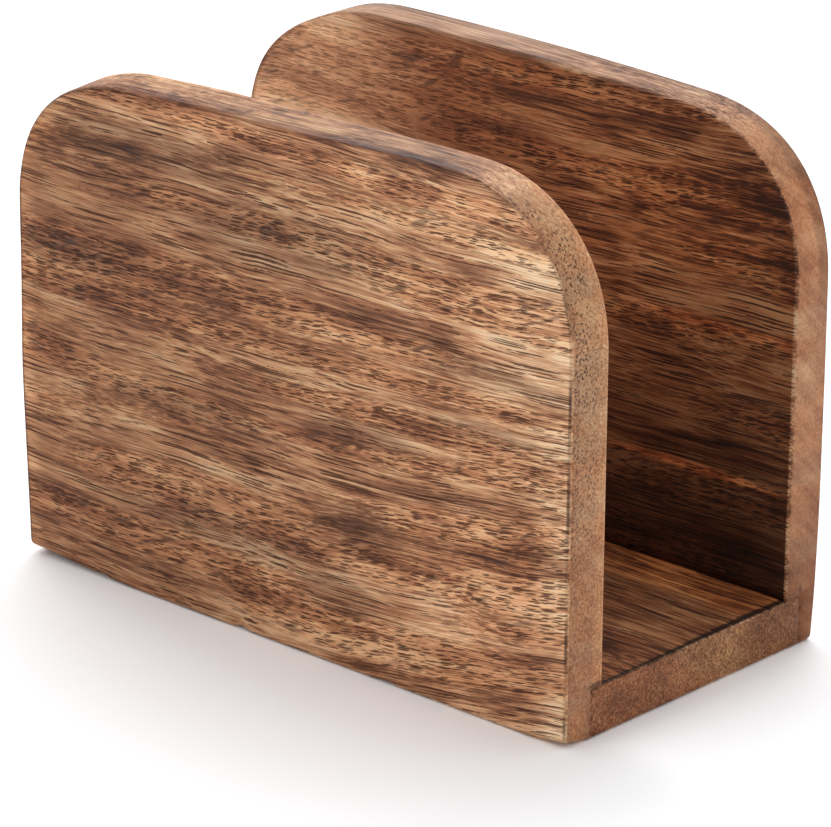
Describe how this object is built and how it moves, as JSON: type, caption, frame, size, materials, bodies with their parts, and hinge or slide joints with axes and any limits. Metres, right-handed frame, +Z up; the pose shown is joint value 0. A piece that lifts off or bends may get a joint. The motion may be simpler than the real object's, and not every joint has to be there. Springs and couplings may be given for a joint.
{
  "type": "napkin holder",
  "caption": "Upright wooden napkin holder: two boards with large rounded top corners joined by a flat base, open at the top and at both ends.",
  "frame": {"origin": "on the surface it stands on, under the middle of the holder", "axes": "+X along the length and the grain, +Y from the front panel to the rear panel, +Z up"},
  "size_m": [0.178, 0.092, 0.13],
  "materials": {
    "wood": "thin satin oil on open-pored reddish-brown hardwood"
  },
  "bodies": {
    "root": {"front_panel": "wood", "rear_panel": "wood", "base_board": "wood"}
  },
  "joints": []
}
